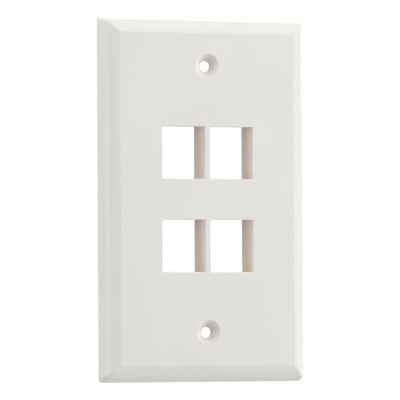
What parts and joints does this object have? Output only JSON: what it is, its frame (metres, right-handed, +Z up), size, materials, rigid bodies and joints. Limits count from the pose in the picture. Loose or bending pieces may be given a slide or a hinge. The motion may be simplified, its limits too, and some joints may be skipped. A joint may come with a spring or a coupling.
{
  "type": "keystone faceplate",
  "caption": "Single-gang wall plate with a bevelled edge, keystone port openings in a square block, and countersunk fixing holes above and below.",
  "frame": {"origin": "centre of the rear rim plane, which meets the wall", "axes": "+Z up as mounted, -Y out of the wall through the front face, +X to the right seen from the front"},
  "size_m": [0.0698, 0.0086, 0.1142],
  "materials": {
    "moulded_plastic": "fine satin, slightly warm white"
  },
  "bodies": {
    "root": {"faceplate": "moulded_plastic"}
  },
  "joints": []
}
